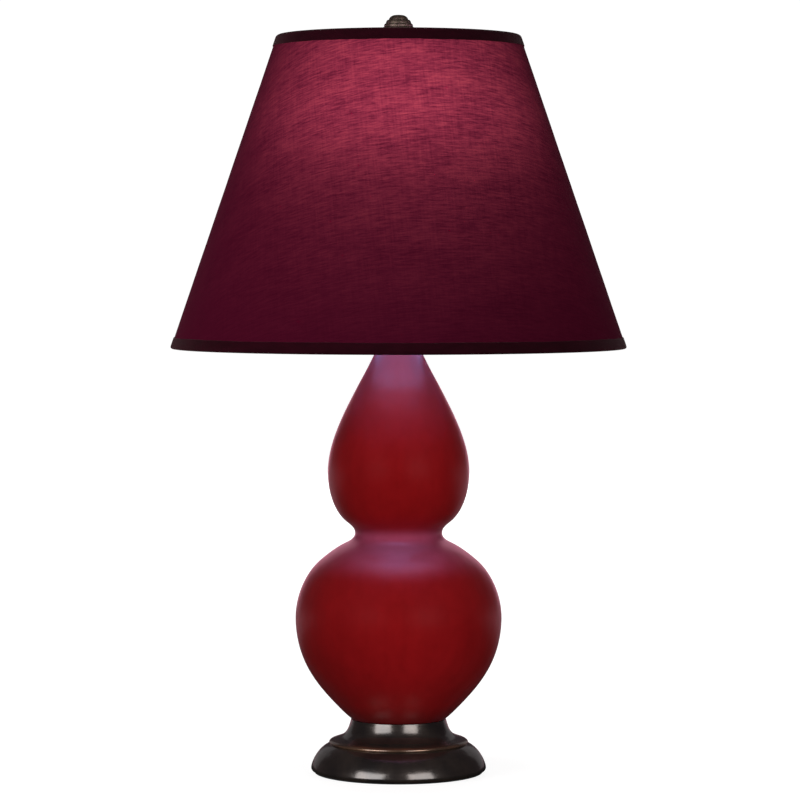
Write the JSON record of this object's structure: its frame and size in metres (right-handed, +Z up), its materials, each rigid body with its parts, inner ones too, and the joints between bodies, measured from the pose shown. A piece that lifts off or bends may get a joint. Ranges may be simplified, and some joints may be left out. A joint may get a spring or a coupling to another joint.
{
  "type": "double gourd table lamp",
  "caption": "Table lamp with a glazed double gourd ceramic body on a turned metal foot, tapered fabric shade on a harp, finial, switched socket and bulb.",
  "frame": {"origin": "middle of the underside of the felt pad, on the surface the lamp stands on", "axes": "+Z up along the lamp's axis, -Y towards the user, who sees the switch knob, +X to the user's right, in line with the harp"},
  "size_m": [0.3484, 0.3484, 0.578],
  "materials": {
    "foot_bronze": "oil-rubbed dark bronze, satin, rubbed to copper on the ledge",
    "ballast_iron": "raw cast",
    "felt": "pressed felt, black",
    "black_plastic": "moulded, satin",
    "steel": "zinc plated",
    "gasket_rubber": "matte",
    "oxblood_glaze": "glossy deep red glaze",
    "brass": "satin",
    "bronze_fittings": "dark bronze, satin",
    "sleeve_board": "pressed paper board",
    "phenolic": "moulded",
    "finial_bronze": "dark bronze, satin",
    "ring_wire": "white enamelled wire",
    "shade_liner": "white styrene, satin",
    "shade_fabric": "burgundy slub weave",
    "trim_tape": "dark burgundy woven tape",
    "bulb_glass": "frosted, lit",
    "bulb_cap": "bright, rolled thread",
    "bulb_black_glass": "vitrified",
    "clear_glass": "clear",
    "tungsten": "drawn wire"
  },
  "bodies": {
    "lamp_body": {"base_foot": "foot_bronze", "felt_pad": "felt", "cord_bushing": "black_plastic", "base_weight": "ballast_iron", "base_washer": "steel", "lock_washer": "steel", "rod_nut": "steel", "foot_gasket": "gasket_rubber", "ceramic_body": "oxblood_glaze", "threaded_rod": "steel", "vase_cap": "bronze_fittings", "neck_spacer": "bronze_fittings", "top_lock_nut": "brass", "harp_saddle": "bronze_fittings", "socket_cap": "bronze_fittings", "socket_set_screw": "steel", "socket_shell": "bronze_fittings", "insulating_sleeve": "sleeve_board", "socket_interior": "phenolic", "screw_shell": "bulb_cap", "centre_contact": "brass", "terminal_screws": "brass", "harp_wire": "bronze_fittings", "harp_stud": "brass"},
    "switch_knob": {"switch_shaft": "brass", "switch_knob": "black_plastic"},
    "harp_ferrule_right": {"harp_ferrule_right": "bronze_fittings"},
    "harp_ferrule_left": {"harp_ferrule_left": "bronze_fittings"},
    "finial": {"finial": "finial_bronze"},
    "shade": {"shade_fabric": "shade_fabric", "shade_liner": "shade_liner", "shade_bottom_trim": "trim_tape", "shade_top_trim": "trim_tape", "shade_bottom_ring": "ring_wire", "shade_top_ring": "ring_wire", "shade_spider": "bronze_fittings"},
    "bulb": {"bulb_glass": "bulb_glass", "bulb_cap": "bulb_cap", "bulb_insulator": "bulb_black_glass", "bulb_tip_contact": "brass", "bulb_stem": "clear_glass", "bulb_filament": "tungsten"}
  },
  "joints": [
    {"name": "switch_turn", "type": "hinge", "parent": "lamp_body", "child": "switch_knob", "pos_m": [0, -0.03, 0.375], "axis": [0, -1, 0], "continuous": true},
    {"name": "ferrule_right_lift", "type": "slide", "parent": "lamp_body", "child": "harp_ferrule_right", "axis": [0, 0, 1], "range_m": [0, 0.015]},
    {"name": "ferrule_left_lift", "type": "slide", "parent": "lamp_body", "child": "harp_ferrule_left", "axis": [0, 0, 1], "range_m": [0, 0.015]},
    {"name": "finial_unscrew", "type": "slide", "parent": "lamp_body", "child": "finial", "axis": [0, 0, 1], "range_m": [0, 0.014]},
    {"name": "shade_turn", "type": "hinge", "parent": "lamp_body", "child": "shade", "pos_m": [0, 0, 0.5502], "axis": [0, 0, 1], "continuous": true},
    {"name": "bulb_unscrew", "type": "slide", "parent": "lamp_body", "child": "bulb", "axis": [0, 0, 1], "range_m": [0, 0.015]}
  ]
}
